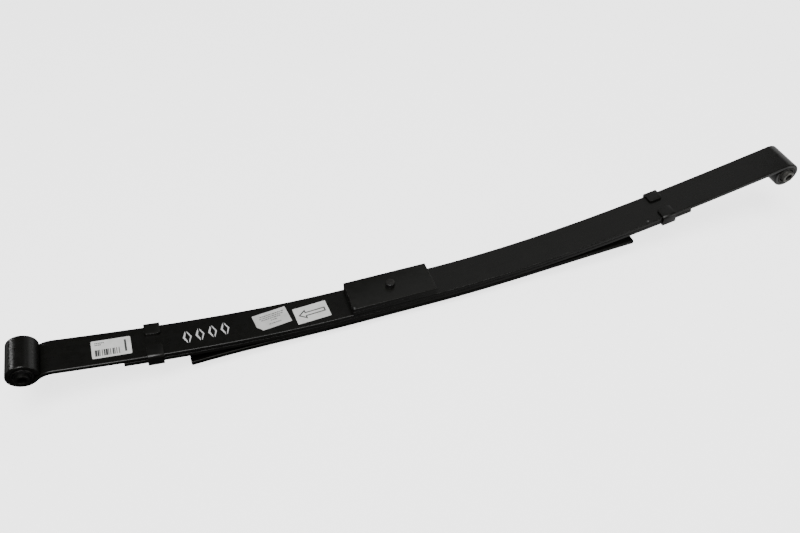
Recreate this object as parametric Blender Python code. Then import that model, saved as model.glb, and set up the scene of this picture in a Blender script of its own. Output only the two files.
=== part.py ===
"""A three-leaf rear spring for a light truck: two full leaves, a flat helper leaf below
them, a two-plate spacer above them, two rebound clips and a rubber bush in each eye.

Metres, +Z up. X runs along the spring, with the front eye at -X and the rear eye at +X,
and Y across it. The origin is the centre of the flat top of the centre bolt's head.

The profile is drawn in the leaf frame, whose z = 0 is the main leaf's top face at the
seat. Bending is carried by hinges: each leaf is stored as a seat length and two arms,
which meet in a round knuckle a quarter of the way out from the edge of the seat.
"""
from math import acos, asin, cos, hypot, pi, radians, sin, sqrt

import bmesh
import bpy
from mathutils import Vector

# Leaves
LEAF_WIDTH = 0.0635
MAIN_THICKNESS = 0.0075
SECOND_THICKNESS = 0.0080
HELPER_THICKNESS = 0.0085
EDGE_RADIUS = 0.0022            # rolled edge of the leaf stock
TOUCH_GAP = 0.0003              # between faces that touch on the real spring
SEAT_LENGTH = 0.152             # flat stretch that the axle pad clamps

# Main leaf, measured along its top face from the edge of the seat
FRONT_LENGTH = 0.517
REAR_LENGTH = 0.708
FRONT_BEND = (0.64, 0.08)       # curvature at the seat and at the eye, 1/m
REAR_BEND = (0.62, 0.02)

# Second leaf and helper leaf, past the edge of the seat
SECOND_FRONT_LENGTH = 0.374
SECOND_REAR_LENGTH = 0.507
HELPER_FRONT_LENGTH = 0.277
HELPER_REAR_LENGTH = 0.395
HELPER_FRONT_BEND = (0.64, -1.03)
HELPER_REAR_BEND = (0.62, -0.38)

# Eyes
EYE_OUTER_RADIUS = 0.024
FRONT_EYE_LEAD_RADIUS = 0.035   # bend that drops the leaf under the front eye
EYE_LIP_GAP = 0.0012            # left open where the rolled end comes back to the leaf

# Bushes, from the eye's bore inwards
SHELL_WALL = 0.0016
RUBBER_WALL = 0.0030
SLEEVE_WALL = 0.0045
SLEEVE_STAND_OUT = 0.0070       # past each side of the leaf
RUBBER_RECESS = 0.0010          # from the shell's end to the rubber's rim
RUBBER_DISH = 0.0030            # depth of the groove moulded in the rubber's face

# Spacer, centre bolt and nut
SPACER_PLATE_THICKNESS = 0.0074
SPACER_EDGE_BEVEL = 0.0006
BOLT_SHANK_RADIUS = 0.0055
BOLT_HEAD_RADIUS = 0.0080
BOLT_HEAD_HEIGHT = 0.0095
BOLT_HEAD_ROUND = 0.0015
BOLT_TAIL = 0.0030              # past the nut
BOLT_TAIL_CHAMFER = 0.0010
BOLT_ZONE = 0.030               # half the stretch round the bolt that the pads leave clear
NUT_ACROSS_FLATS = 0.0175
NUT_HEIGHT = 0.0090

# Rebound clips
FRONT_CLIP_STATION = 0.3260     # from the edge of the seat to the clip's middle
REAR_CLIP_STATION = 0.4590
CLIP_WIDTH = 0.025
CLIP_THICKNESS = 0.0035
CLIP_SIDE_CLEARANCE = 0.0012
CLIP_TOP_CLEARANCE = 0.0008
CLIP_BEND_RADIUS = 0.0022       # inside of the bends
CLIP_TAB_OPENING = 0.0220       # between the tips of the two tabs
CLIP_TIP_RADIUS = 0.0045
RIVET_RADIUS = 0.0040
RIVET_HEAD_RADIUS = 0.0075
RIVET_HEAD_HEIGHT = 0.0040
RIVET_SUNK = 0.0006             # end of the rivet below the second leaf's top

# Stuck labels: station of the middle, offset across, turn, length, width
LABEL_THICKNESS = 0.0003
LABEL_LENGTH = 0.059
LABEL_WIDTH = 0.0355
LABEL_CUT = 0.010               # corner torn from the middle label
BARCODE_LABEL = (-0.4655, -0.0015, 1.0)
NOTE_LABEL = (-0.2100, 0.0010, 9.0)
POSITION_LABEL = (-0.1420, -0.0035, 4.5)

# Knuckles where the leaves bend
PIVOT_SHARE = 0.25              # of each free length, from the edge of the seat
NOSE_SHARE = 0.6                # how far the nose stands out, of half the leaf stack
CUT_OVERRUN = 0.004             # cutters pass each face by this much

# Facets
LEAF_STEPS = 14                 # rings along one arm
SEAT_STEPS = 5                  # rings between the flat of a seat length and its knuckle
LEAD_STEPS = 5
LABEL_STEPS = 6
CURVE_STEPS = 48                # of the sum that traces a leaf's curve
EYE_STEP = radians(12)
ROUND_SEGMENTS = 40
CORNER_SEGMENTS = 2
BEND_SEGMENTS = 4               # of a clip's bends
SHARP_ANGLE = radians(35)
SAME_PLACE = 1e-6

HALF_WIDTH = LEAF_WIDTH / 2
HALF_SEAT = SEAT_LENGTH / 2
SECOND_TOP = -MAIN_THICKNESS - TOUCH_GAP
SECOND_BOTTOM = SECOND_TOP - SECOND_THICKNESS
HELPER_TOP = SECOND_BOTTOM - TOUCH_GAP
HELPER_BOTTOM = HELPER_TOP - HELPER_THICKNESS
SPACER_BOTTOM = TOUCH_GAP
SPACER_TOP = SPACER_BOTTOM + 2 * SPACER_PLATE_THICKNESS + TOUCH_GAP
HEAD_TOP = SPACER_TOP + TOUCH_GAP + BOLT_HEAD_HEIGHT
BOLT_HOLE_RADIUS = BOLT_SHANK_RADIUS + TOUCH_GAP
EYE_MIDDLE_RADIUS = EYE_OUTER_RADIUS - MAIN_THICKNESS / 2
EYE_BORE_RADIUS = EYE_OUTER_RADIUS - MAIN_THICKNESS


def clear_scene():
    for old in list(bpy.data.objects):
        bpy.data.objects.remove(old, do_unlink=True)


def make_material(name, colour, roughness, metallic):
    material = bpy.data.materials.new(name)
    material.use_nodes = True
    shader = material.node_tree.nodes["Principled BSDF"]
    shader.inputs["Base Color"].default_value = colour
    shader.inputs["Roughness"].default_value = roughness
    shader.inputs["Metallic"].default_value = metallic
    return material


def add_empty(name, place, parent=None):
    """An axis or frame that pieces hang from, at place (x, z) in its parent's frame."""
    empty = bpy.data.objects.new(name, None)
    empty.parent = parent
    empty.location = (place[0], 0.0, place[1])
    bpy.context.collection.objects.link(empty)
    return empty


def add_piece(name, bm, joint, material):
    """Makes an object from a mesh in leaf-frame coordinates, with its origin on its joint."""
    bmesh.ops.translate(bm, verts=bm.verts, vec=-joint.location if joint.parent else Vector())
    bmesh.ops.recalc_face_normals(bm, faces=bm.faces)
    mesh = bpy.data.meshes.new(name)
    bm.to_mesh(mesh)
    bm.free()
    mesh.shade_smooth()
    mesh.set_sharp_from_angle(angle=SHARP_ANGLE)
    mesh.materials.append(material)
    piece = bpy.data.objects.new(name, mesh)
    piece.parent = joint
    bpy.context.collection.objects.link(piece)
    return piece


def cut(piece, cutter_mesh, name, joint):
    """Subtracts a closed mesh in leaf-frame coordinates from a piece."""
    cutter = add_piece(name, cutter_mesh, joint, piece.data.materials[0])
    cutter.hide_render = True
    cutter.display_type = "WIRE"
    boolean = piece.modifiers.new(name, "BOOLEAN")
    boolean.object = cutter
    boolean.operation = "DIFFERENCE"
    boolean.solver = "EXACT"


# Profile

def bent_line(distance, length, bend):
    """Point and slope at a distance along a line whose curvature changes evenly from
    bend[0] to bend[1] over its length: (run, rise, slope)."""
    step = distance / CURVE_STEPS
    run = rise = 0.0
    for i in range(CURVE_STEPS):
        middle = (i + 0.5) * step
        slope = bend[0] * middle + (bend[1] - bend[0]) * middle ** 2 / (2 * length)
        run += cos(slope) * step
        rise += sin(slope) * step
    slope = bend[0] * distance + (bend[1] - bend[0]) * distance ** 2 / (2 * length)
    return run, rise, slope


def leaf_place(station, height, shape):
    """Place at a station along a leaf stack and a height above its reference face.

    Stations are signed lengths from the centre bolt. Returns (point, normal, outward),
    each as an (x, z) Vector."""
    side = -1.0 if station < 0 else 1.0
    length, bend = shape[1] if station < 0 else shape[2]
    past_seat = max(abs(station) - HALF_SEAT, 0.0)
    run, rise, slope = bent_line(past_seat, length, bend)
    normal = Vector((-side * sin(slope), cos(slope)))
    outward = Vector((side * cos(slope), sin(slope)))
    flat = min(abs(station), HALF_SEAT)
    point = Vector((side * (flat + run), shape[0] + rise)) + normal * height
    return point, normal, outward


# A shape is the level of the stack's reference face at the seat, then the length and bend
# of its front and of its rear.
MAIN_SHAPE = (0.0, (FRONT_LENGTH, FRONT_BEND), (REAR_LENGTH, REAR_BEND))
HELPER_SHAPE = (
    HELPER_TOP,
    (HELPER_FRONT_LENGTH, HELPER_FRONT_BEND),
    (HELPER_REAR_LENGTH, HELPER_REAR_BEND),
)


def leaf_rings(start, end, height, shape, steps):
    """Centre line of a plain stretch of leaf, as (point, normal) pairs."""
    rings = []
    for i in range(steps + 1):
        point, normal, _ = leaf_place(start + (end - start) * i / steps, height, shape)
        rings.append((point, normal))
    return rings


def round_rings(centre, radius, start, end, outward, up, inward_normal):
    """Centre line round an arc in the frame of outward and up, from angle start to end."""
    steps = max(2, round(abs(end - start) / EYE_STEP))
    rings = []
    for i in range(1, steps + 1):
        angle = start + (end - start) * i / steps
        spoke = outward * cos(angle) + up * sin(angle)
        rings.append((centre + spoke * radius, -spoke if inward_normal else spoke))
    return rings


def front_lead():
    """Length of the lead bend, its turn, and the station where it starts."""
    run = sqrt(EYE_MIDDLE_RADIUS ** 2 + 2 * FRONT_EYE_LEAD_RADIUS * EYE_MIDDLE_RADIUS)
    turn = acos(FRONT_EYE_LEAD_RADIUS / (FRONT_EYE_LEAD_RADIUS + EYE_MIDDLE_RADIUS))
    return run, turn, -(HALF_SEAT + FRONT_LENGTH - run)


def front_eye_centre():
    run, _, station = front_lead()
    point, _, outward = leaf_place(station, -MAIN_THICKNESS / 2, MAIN_SHAPE)
    return point + outward * run


def rear_eye_centre():
    point, normal, _ = leaf_place(HALF_SEAT + REAR_LENGTH, -MAIN_THICKNESS / 2, MAIN_SHAPE)
    return point - normal * EYE_MIDDLE_RADIUS


def front_eye_rings():
    """The leaf drops through the lead bend, then rolls under, round and back over the eye."""
    run, turn, station = front_lead()
    point, up, outward = leaf_place(station, -MAIN_THICKNESS / 2, MAIN_SHAPE)
    lead_centre = point - up * FRONT_EYE_LEAD_RADIUS
    rings = []
    for i in range(1, LEAD_STEPS + 1):
        angle = turn * i / LEAD_STEPS
        spoke = up * cos(angle) + outward * sin(angle)
        rings.append((lead_centre + spoke * FRONT_EYE_LEAD_RADIUS, spoke))
    lead_outer = FRONT_EYE_LEAD_RADIUS + MAIN_THICKNESS / 2
    leaf_rise = sqrt(lead_outer ** 2 - (run - EYE_OUTER_RADIUS) ** 2) - FRONT_EYE_LEAD_RADIUS
    lip = asin((leaf_rise + EYE_LIP_GAP) / EYE_OUTER_RADIUS)
    start = pi + (pi / 2 - turn)
    return rings + round_rings(
        point + outward * run, EYE_MIDDLE_RADIUS, start, 3 * pi - lip, outward, up, True
    )


def rear_eye_rings():
    """The leaf rolls over, down and back under the eye, to just below itself."""
    point, up, outward = leaf_place(HALF_SEAT + REAR_LENGTH, -MAIN_THICKNESS / 2, MAIN_SHAPE)
    lip = asin((EYE_BORE_RADIUS - EYE_LIP_GAP) / EYE_OUTER_RADIUS)
    return round_rings(
        point - up * EYE_MIDDLE_RADIUS, EYE_MIDDLE_RADIUS, pi / 2, -pi - lip, outward, up, False
    )


# Meshes

def corner_points(half_width, half_height, radius):
    """A rounded rectangle, counter-clockwise, as (across, up) pairs."""
    points = []
    for quarter in range(4):
        across = half_width - radius if quarter in (0, 3) else radius - half_width
        up = half_height - radius if quarter in (0, 1) else radius - half_height
        for i in range(CORNER_SEGMENTS + 1):
            angle = pi / 2 * (quarter + i / CORNER_SEGMENTS)
            points.append((across + radius * cos(angle), up + radius * sin(angle)))
    return points


def leaf_mesh(rings, thickness):
    """Sweeps the leaf's rounded section along its rings and closes both ends."""
    section = corner_points(HALF_WIDTH, thickness / 2, EDGE_RADIUS)
    bm = bmesh.new()
    loops = []
    for point, normal in rings:
        loop = []
        for across, up in section:
            place = point + normal * up
            loop.append(bm.verts.new((place.x, across, place.y)))
        loops.append(loop)
    count = len(section)
    for near, far in zip(loops, loops[1:]):
        for i in range(count):
            j = (i + 1) % count
            bm.faces.new((near[i], near[j], far[j], far[i]))
    bm.faces.new(loops[0])
    bm.faces.new(loops[-1])
    return bm


def slab_mesh(outline, depth):
    """Extrudes an (x, z) outline across the spring, depth to each side of the middle."""
    bm = bmesh.new()
    face = bm.faces.new([bm.verts.new((x, -depth, z)) for x, z in outline])
    grown = bmesh.ops.extrude_face_region(bm, geom=[face])
    moved = [item for item in grown["geom"] if isinstance(item, bmesh.types.BMVert)]
    bmesh.ops.translate(bm, verts=moved, vec=(0, 2 * depth, 0))
    return bm


def turned_mesh(profile, centre, along):
    """Turns a closed (radius, length) profile about the Y or Z axis through centre."""
    axis = Vector(along)
    spoke = Vector((1, 0, 0))
    bm = bmesh.new()
    verts = [bm.verts.new(centre + spoke * r + axis * t) for r, t in profile]
    edges = [bm.edges.new((verts[i - 1], verts[i])) for i in range(len(verts))]
    bmesh.ops.spin(
        bm, geom=verts + edges, cent=centre, axis=axis, angle=2 * pi,
        steps=ROUND_SEGMENTS, use_merge=True,
    )
    bmesh.ops.remove_doubles(bm, verts=bm.verts, dist=SAME_PLACE)
    return bm


def solid_turned_mesh(profile, centre, along):
    """Turns an open profile that starts and ends on an upright axis into a closed solid."""
    axis = Vector(along)
    other = Vector((0, 1, 0))
    cross = axis.cross(other)
    bm = bmesh.new()
    loops = []
    for radius, length in profile:
        middle = centre + axis * length
        if radius == 0.0:
            loops.append([bm.verts.new(middle)])
            continue
        loop = []
        for i in range(ROUND_SEGMENTS):
            angle = 2 * pi * i / ROUND_SEGMENTS
            loop.append(bm.verts.new(middle + (other * cos(angle) + cross * sin(angle)) * radius))
        loops.append(loop)
    for near, far in zip(loops, loops[1:]):
        for i in range(ROUND_SEGMENTS):
            j = (i + 1) % ROUND_SEGMENTS
            corners = [near[i % len(near)], near[j % len(near)], far[j % len(far)], far[i % len(far)]]
            bm.faces.new(list(dict.fromkeys(corners)))
    return bm


def post_mesh(radius, low, high, centre, up, segments=ROUND_SEGMENTS):
    """A round or many-sided post from low to high past centre, along up, both (x, z)."""
    axis = Vector((up.x, 0, up.y))
    middle = Vector((centre.x, 0, centre.y)) + axis * (low + high) / 2
    bm = bmesh.new()
    bmesh.ops.create_cone(
        bm, cap_ends=True, segments=segments, radius1=radius, radius2=radius, depth=high - low
    )
    bmesh.ops.rotate(bm, verts=bm.verts, matrix=axis.to_track_quat("Z", "Y").to_matrix())
    bmesh.ops.translate(bm, verts=bm.verts, vec=middle)
    return bm


def bar_mesh(radius, centre):
    """A round bar across the spring, long enough to cut right through a leaf."""
    bm = bmesh.new()
    bmesh.ops.create_cone(
        bm, cap_ends=True, segments=2 * ROUND_SEGMENTS, radius1=radius, radius2=radius,
        depth=LEAF_WIDTH + 2 * CUT_OVERRUN,
    )
    bmesh.ops.rotate(bm, verts=bm.verts, matrix=Vector((0, 1, 0)).to_track_quat("Z", "Y").to_matrix())
    bmesh.ops.translate(bm, verts=bm.verts, vec=(centre.x, 0, centre.y))
    return bm


# Knuckles

def knuckle(station, depth, half_height, shape):
    """Axis, directions and nose radius of the hinge at a station and depth of a stack."""
    point, up, outward = leaf_place(station, -depth, shape)
    return {
        "centre": point,
        "up": up,
        "outward": outward,
        "radius": hypot(half_height, NOSE_SHARE * half_height),
        "half_height": half_height,
    }


def nose_cutter(hinge):
    """A block on the seat's side of the hinge with the round nose left out of it."""
    reach = hinge["radius"] + CUT_OVERRUN
    height = hinge["half_height"] + 2 * CUT_OVERRUN
    flat = [(0, height), (reach, height), (reach, -height), (0, -height)]
    nose = []
    for i in range(ROUND_SEGMENTS + 1):
        angle = pi * i / ROUND_SEGMENTS - pi / 2
        nose.append((hinge["radius"] * cos(angle), hinge["radius"] * sin(angle)))
    outline = []
    for inward, up in flat + nose:
        place = hinge["centre"] - hinge["outward"] * inward + hinge["up"] * up
        outline.append((place.x, place.y))
    return slab_mesh(outline, HALF_WIDTH + CUT_OVERRUN)


def socket_cutter(hinge):
    return bar_mesh(hinge["radius"] + TOUCH_GAP, hinge["centre"])


def pivot_station(length):
    return HALF_SEAT + PIVOT_SHARE * length


def leaf_seat(name, height, thickness, shape, hinges, stations, joint, material):
    """Seat length of a leaf, from one knuckle to the other, with the bolt hole."""
    rings = leaf_rings(stations[0], -HALF_SEAT, height, shape, SEAT_STEPS)
    rings += leaf_rings(-BOLT_ZONE, BOLT_ZONE, height, shape, 1)
    rings += leaf_rings(HALF_SEAT, stations[1], height, shape, SEAT_STEPS)
    piece = add_piece(name, leaf_mesh(rings, thickness), joint, material)
    for side, hinge in zip(("front", "rear"), hinges):
        cut(piece, socket_cutter(hinge), f"{name}_{side}_socket", joint)
    middle = Vector((0, shape[0] + height))
    bolt_hole = post_mesh(BOLT_HOLE_RADIUS, -thickness, thickness, middle, Vector((0, 1)))
    cut(piece, bolt_hole, f"{name}_bolt_hole", joint)


def leaf_arm(name, start, end, height, thickness, shape, hinge, joint, material, tail=()):
    """Arm of a leaf from its nose to its tip, or on into an eye's rings."""
    side = 1.0 if end > 0 else -1.0
    first = start - side * (hinge["radius"] + CUT_OVERRUN / 2)
    rings = leaf_rings(first, end, height, shape, LEAF_STEPS)
    piece = add_piece(name, leaf_mesh(rings + list(tail), thickness), joint, material)
    cut(piece, nose_cutter(hinge), f"{name}_nose_cut", joint)
    return piece


# Fittings

def add_spacers(joint, paint):
    half = SPACER_PLATE_THICKNESS / 2
    for name, low in (
        ("spacer_plate_lower", SPACER_BOTTOM),
        ("spacer_plate_upper", SPACER_BOTTOM + SPACER_PLATE_THICKNESS + TOUCH_GAP),
    ):
        bm = bmesh.new()
        bmesh.ops.create_cube(bm, size=1.0)
        bmesh.ops.scale(bm, verts=bm.verts, vec=(SEAT_LENGTH, LEAF_WIDTH, SPACER_PLATE_THICKNESS))
        bmesh.ops.bevel(
            bm, geom=bm.edges[:], offset=SPACER_EDGE_BEVEL, segments=1, affect="EDGES",
            profile=0.5,
        )
        for side in (-1, 1):
            bmesh.ops.bisect_plane(
                bm, geom=bm.verts[:] + bm.edges[:] + bm.faces[:],
                plane_co=(side * BOLT_ZONE, 0, 0), plane_no=(1, 0, 0),
            )
        bmesh.ops.translate(bm, verts=bm.verts, vec=(0, 0, low + half))
        piece = add_piece(name, bm, joint, paint)
        hole = post_mesh(
            BOLT_HOLE_RADIUS, low - half, low + 3 * half, Vector((0, 0)), Vector((0, 1))
        )
        cut(piece, hole, f"{name}_bolt_hole", joint)


def add_centre_bolt(joint, steel):
    """Round locating head over the spacer and shank down through the pack."""
    head_bottom = HEAD_TOP - BOLT_HEAD_HEIGHT
    nut_top = HELPER_BOTTOM - TOUCH_GAP
    tail = nut_top - NUT_HEIGHT - BOLT_TAIL
    shoulder = BOLT_HEAD_RADIUS - BOLT_HEAD_ROUND
    profile = [(0.0, HEAD_TOP)]
    for i in range(4):
        angle = pi / 2 * (1 - i / 3)
        profile.append((
            shoulder + BOLT_HEAD_ROUND * cos(angle),
            HEAD_TOP - BOLT_HEAD_ROUND * (1 - sin(angle)),
        ))
    profile += [(BOLT_HEAD_RADIUS, head_bottom), (BOLT_SHANK_RADIUS, head_bottom)]
    profile += [(BOLT_SHANK_RADIUS, tail + BOLT_TAIL_CHAMFER)]
    profile += [(BOLT_SHANK_RADIUS - BOLT_TAIL_CHAMFER, tail), (0.0, tail)]
    add_piece("centre_bolt", solid_turned_mesh(profile, Vector(), (0, 0, 1)), joint, steel)


def add_centre_nut(joint, steel):
    nut_top = HELPER_BOTTOM - TOUCH_GAP
    nut_bottom = nut_top - NUT_HEIGHT
    nut = post_mesh(
        NUT_ACROSS_FLATS / sqrt(3), nut_bottom, nut_top, Vector((0, 0)), Vector((0, 1)),
        segments=6,
    )
    piece = add_piece("centre_nut", nut, joint, steel)
    hole = post_mesh(
        BOLT_HOLE_RADIUS, nut_bottom - CUT_OVERRUN, nut_top + CUT_OVERRUN, Vector((0, 0)),
        Vector((0, 1)),
    )
    cut(piece, hole, "centre_nut_hole", joint)


def clip_outline():
    """The clip's section in (across, up), measured from the main leaf's top face: under the
    second leaf, up both sides, and over the top in two tabs."""
    inner_half = HALF_WIDTH + CLIP_SIDE_CLEARANCE
    top = CLIP_TOP_CLEARANCE
    bottom = SECOND_BOTTOM - TOUCH_GAP
    tip = CLIP_TAB_OPENING / 2
    points = []
    for grown, order in ((0.0, 1), (CLIP_THICKNESS, -1)):
        radius = CLIP_BEND_RADIUS + grown
        run = [(tip, top + grown)]
        for side, level, start in (
            (1, top, pi / 2), (1, bottom, 0.0), (-1, bottom, -pi / 2), (-1, top, -pi),
        ):
            across = side * (inner_half - CLIP_BEND_RADIUS)
            up = level - CLIP_BEND_RADIUS if level == top else level + CLIP_BEND_RADIUS
            for i in range(BEND_SEGMENTS + 1):
                angle = start - pi / 2 * i / BEND_SEGMENTS
                run.append((across + radius * cos(angle), up + radius * sin(angle)))
        run.append((-tip, top + grown))
        points += run[::order]
    return points


def add_clip(name, station, joint, paint):
    """A flat strip bent round both leaves, with rounded tab tips, and its rivet hole."""
    point, up, outward = leaf_place(station, 0.0, MAIN_SHAPE)
    along = Vector((outward.x, 0, outward.y))
    above = Vector((up.x, 0, up.y))
    middle = Vector((point.x, 0, point.y))
    bm = bmesh.new()
    face = bm.faces.new([
        bm.verts.new(middle + above * height + Vector((0, across, 0)) - along * CLIP_WIDTH / 2)
        for across, height in clip_outline()
    ])
    grown = bmesh.ops.extrude_face_region(bm, geom=[face])
    moved = [item for item in grown["geom"] if isinstance(item, bmesh.types.BMVert)]
    bmesh.ops.translate(bm, verts=moved, vec=along * CLIP_WIDTH)
    tip = CLIP_TAB_OPENING / 2
    tips = []
    for edge in bm.edges:
        ends = [abs(abs(vert.co.y) - tip) < SAME_PLACE for vert in edge.verts]
        leaning = (edge.verts[0].co - edge.verts[1].co).normalized()
        if all(ends) and abs(leaning.dot(above)) > 0.9:
            tips.append(edge)
    bmesh.ops.bevel(
        bm, geom=tips, offset=CLIP_TIP_RADIUS, segments=5, affect="EDGES", profile=0.5
    )
    piece = add_piece(name, bm, joint, paint)
    bottom = SECOND_BOTTOM - TOUCH_GAP
    hole = post_mesh(
        RIVET_RADIUS + TOUCH_GAP, bottom - CLIP_THICKNESS - CUT_OVERRUN, bottom + TOUCH_GAP,
        point, up,
    )
    cut(piece, hole, f"{name}_rivet_hole", joint)


def add_rivet(name, station, joint, steel):
    """Domed head under the clip, shank up into the second leaf."""
    point, up, _ = leaf_place(station, 0.0, MAIN_SHAPE)
    under = SECOND_BOTTOM - 2 * TOUCH_GAP - CLIP_THICKNESS
    profile = [(0.0, SECOND_TOP - RIVET_SUNK), (RIVET_RADIUS, SECOND_TOP - RIVET_SUNK)]
    profile += [(RIVET_RADIUS, under), (RIVET_HEAD_RADIUS, under)]
    for i in range(1, 5):
        angle = pi / 2 * i / 5
        profile.append((RIVET_HEAD_RADIUS * cos(angle), under - RIVET_HEAD_HEIGHT * sin(angle)))
    profile.append((0.0, under - RIVET_HEAD_HEIGHT))
    centre = Vector((point.x, 0, point.y))
    bm = solid_turned_mesh(profile, centre, (up.x, 0, up.y))
    add_piece(name, bm, joint, steel)


def cut_rivet_hole(leaf, station, joint):
    point, up, _ = leaf_place(station, 0.0, MAIN_SHAPE)
    hole = post_mesh(
        RIVET_RADIUS + TOUCH_GAP, SECOND_BOTTOM - CUT_OVERRUN, SECOND_TOP + TOUCH_GAP / 2, point, up
    )
    cut(leaf, hole, f"{leaf.name}_rivet_hole", joint)


def tube_profile(inner, outer, half_length):
    return [(inner, -half_length), (outer, -half_length), (outer, half_length), (inner, half_length)]


def rubber_profile(inner, outer):
    """A ring whose end faces dish in between the sleeve and the shell."""
    rim = HALF_WIDTH - RUBBER_RECESS
    third = (outer - inner) / 3
    top = [(outer, rim), (outer - third, rim - RUBBER_DISH), (inner + third, rim - RUBBER_DISH)]
    top.append((inner, rim))
    return top + [(r, -t) for r, t in reversed(top)]


def add_bush(side, centre, arm, sleeve_joint, steel, rubber, zinc):
    middle = Vector((centre.x, 0, centre.y))
    across = (0, 1, 0)
    shell_outer = EYE_BORE_RADIUS - TOUCH_GAP
    shell_inner = shell_outer - SHELL_WALL
    rubber_outer = shell_inner - TOUCH_GAP
    rubber_inner = rubber_outer - RUBBER_WALL
    sleeve_outer = rubber_inner - TOUCH_GAP
    shell = tube_profile(shell_inner, shell_outer, HALF_WIDTH)
    ring = rubber_profile(rubber_inner, rubber_outer)
    sleeve_half = HALF_WIDTH + SLEEVE_STAND_OUT
    sleeve = tube_profile(sleeve_outer - SLEEVE_WALL, sleeve_outer, sleeve_half)
    add_piece(f"{side}_bush_shell", turned_mesh(shell, middle, across), arm, steel)
    add_piece(f"{side}_bush_rubber", turned_mesh(ring, middle, across), arm, rubber)
    add_piece(f"{side}_bush_sleeve", turned_mesh(sleeve, middle, across), sleeve_joint, zinc)


def add_label(name, place, joint, paper, corner_cut=0.0):
    """A thin label that lies along the main leaf's top face, one corner cut if asked."""
    station, offset, turn = place[0], place[1], radians(place[2])
    bm = bmesh.new()
    rows = []
    for i in range(LABEL_STEPS + 1):
        along = LABEL_LENGTH * (i / LABEL_STEPS - 0.5)
        low = -LABEL_WIDTH / 2
        if i == 0:
            low += corner_cut
        row = []
        for across in (low, LABEL_WIDTH / 2):
            at = station + along * cos(turn) - across * sin(turn)
            y = offset + along * sin(turn) + across * cos(turn)
            for height in (TOUCH_GAP, TOUCH_GAP + LABEL_THICKNESS):
                point, _, _ = leaf_place(at, height, MAIN_SHAPE)
                row.append(bm.verts.new((point.x, y, point.y)))
        rows.append(row)
    for near, far in zip(rows, rows[1:]):
        for a, b in ((0, 1), (1, 3), (3, 2), (2, 0)):
            bm.faces.new((near[a], near[b], far[b], far[a]))
    for row in (rows[0], rows[-1]):
        bm.faces.new((row[0], row[1], row[3], row[2]))
    add_piece(name, bm, joint, paper)


def make_paint():
    return make_material("black_paint", (0.012, 0.012, 0.013, 1.0), 0.38, 0.0)


def make_blackened_steel():
    return make_material("blackened_steel", (0.03, 0.03, 0.032, 1.0), 0.42, 0.6)


def make_plated_steel():
    return make_material("plated_steel", (0.42, 0.42, 0.40, 1.0), 0.36, 1.0)


def make_rubber():
    return make_material("rubber", (0.02, 0.02, 0.02, 1.0), 0.75, 0.0)


def make_label_paper():
    return make_material("label_paper", (0.80, 0.80, 0.78, 1.0), 0.55, 0.0)


def add_main_leaf(frame, arms, hinges, pivots, paint):
    height = -MAIN_THICKNESS / 2
    leaf_seat(
        "main_leaf_seat", height, MAIN_THICKNESS, MAIN_SHAPE, hinges, pivots, frame, paint
    )
    leaf_arm(
        "main_leaf_front", pivots[0], front_lead()[2], height, MAIN_THICKNESS, MAIN_SHAPE,
        hinges[0], arms[0], paint, front_eye_rings(),
    )
    leaf_arm(
        "main_leaf_rear", pivots[1], HALF_SEAT + REAR_LENGTH, height, MAIN_THICKNESS, MAIN_SHAPE,
        hinges[1], arms[1], paint, rear_eye_rings(),
    )


def add_second_leaf(frame, arms, hinges, pivots, clips, paint):
    """The leaf under the main leaf, with a hole at each clip for its rivet."""
    height = SECOND_TOP - SECOND_THICKNESS / 2
    leaf_seat(
        "second_leaf_seat", height, SECOND_THICKNESS, MAIN_SHAPE, hinges, pivots, frame, paint
    )
    front = leaf_arm(
        "second_leaf_front", pivots[0], -(HALF_SEAT + SECOND_FRONT_LENGTH), height,
        SECOND_THICKNESS, MAIN_SHAPE, hinges[0], arms[0], paint,
    )
    rear = leaf_arm(
        "second_leaf_rear", pivots[1], HALF_SEAT + SECOND_REAR_LENGTH, height,
        SECOND_THICKNESS, MAIN_SHAPE, hinges[1], arms[1], paint,
    )
    cut_rivet_hole(front, clips[0], arms[0])
    cut_rivet_hole(rear, clips[1], arms[1])


def add_helper_leaf(frame, arms, hinges, pivots, paint):
    height = -HELPER_THICKNESS / 2
    leaf_seat(
        "helper_leaf_seat", height, HELPER_THICKNESS, HELPER_SHAPE, hinges, pivots, frame, paint
    )
    leaf_arm(
        "helper_leaf_front", pivots[0], -(HALF_SEAT + HELPER_FRONT_LENGTH), height,
        HELPER_THICKNESS, HELPER_SHAPE, hinges[0], arms[0], paint,
    )
    leaf_arm(
        "helper_leaf_rear", pivots[1], HALF_SEAT + HELPER_REAR_LENGTH, height,
        HELPER_THICKNESS, HELPER_SHAPE, hinges[1], arms[1], paint,
    )


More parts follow.
